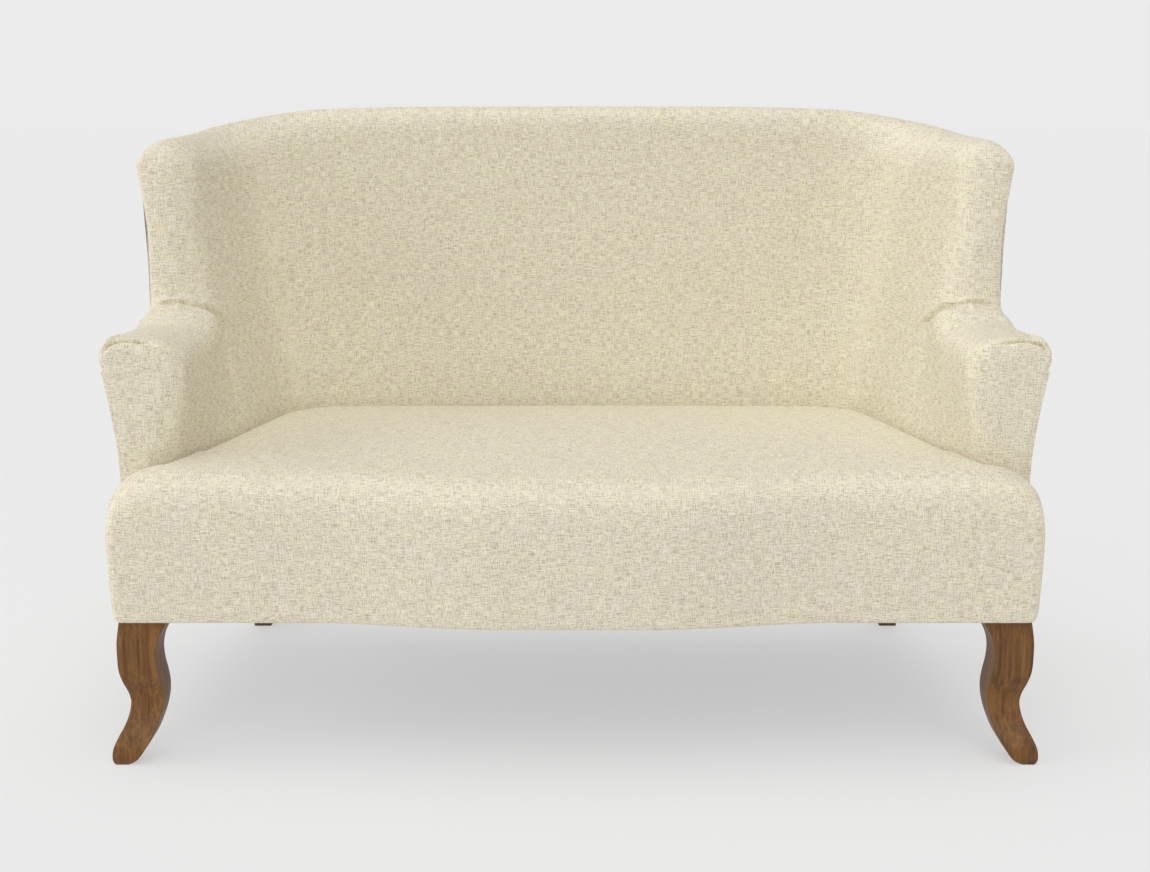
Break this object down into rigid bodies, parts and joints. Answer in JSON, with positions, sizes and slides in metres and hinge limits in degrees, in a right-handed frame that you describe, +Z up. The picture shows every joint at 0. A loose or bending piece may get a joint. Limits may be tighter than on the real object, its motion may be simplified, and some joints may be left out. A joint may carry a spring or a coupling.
{
  "type": "high back settee",
  "caption": "High back settee with curved wing sides, low arms, a bowed tight seat in pale linen, cabriole front legs and raked back legs.",
  "frame": {"origin": "middle of the bounding box at floor level", "axes": "+Z up, the front faces -Y, +X to the right as seen from the front"},
  "size_m": [1.4746, 0.79, 1.019],
  "materials": {
    "frame_wood": "planed beech, unfinished",
    "leg_wood": "mid brown stained oak, satin",
    "bolt_steel": "zinc plated",
    "webbing": "woven jute webbing",
    "hessian": "loose woven hessian",
    "foam": "open cell foam and wadding",
    "linen": "natural linen, matt, plain weave with slubs",
    "dust_cloth": "black spun lining"
  },
  "bodies": {
    "root": {"front_rail": "frame_wood", "side_rail_right": "frame_wood", "side_rail_left": "frame_wood", "back_rail": "frame_wood", "centre_rail": "frame_wood", "corner_blocks": "frame_wood", "arm_post_right": "frame_wood", "arm_post_left": "frame_wood", "arm_rail_right": "frame_wood", "arm_rail_left": "frame_wood", "arm_tack_rail_right": "frame_wood", "arm_tack_rail_left": "frame_wood", "wing_post_right": "frame_wood", "wing_post_left": "frame_wood", "wing_rail_right": "frame_wood", "wing_rail_left": "frame_wood", "back_post_right": "frame_wood", "back_post_left": "frame_wood", "back_top_rail": "frame_wood", "back_tack_rail": "frame_wood", "back_slats": "frame_wood", "front_leg_right": "leg_wood", "front_leg_left": "leg_wood", "back_leg_right": "leg_wood", "back_leg_left": "leg_wood", "leg_bolts": "bolt_steel", "leg_nuts": "bolt_steel", "seat_webbing": "webbing", "back_webbing": "webbing", "seat_hessian": "hessian", "seat_foam": "foam", "front_edge_foam": "foam", "back_foam": "foam", "wing_foam_right": "foam", "wing_foam_left": "foam", "arm_foam_right": "foam", "arm_foam_left": "foam", "seat_cover": "linen", "inside_back_cover": "linen", "arm_cover_right": "linen", "arm_cover_left": "linen", "outside_arm_cover_right": "linen", "outside_arm_cover_left": "linen", "outside_back_cover": "linen", "dust_cover": "dust_cloth"}
  },
  "joints": []
}
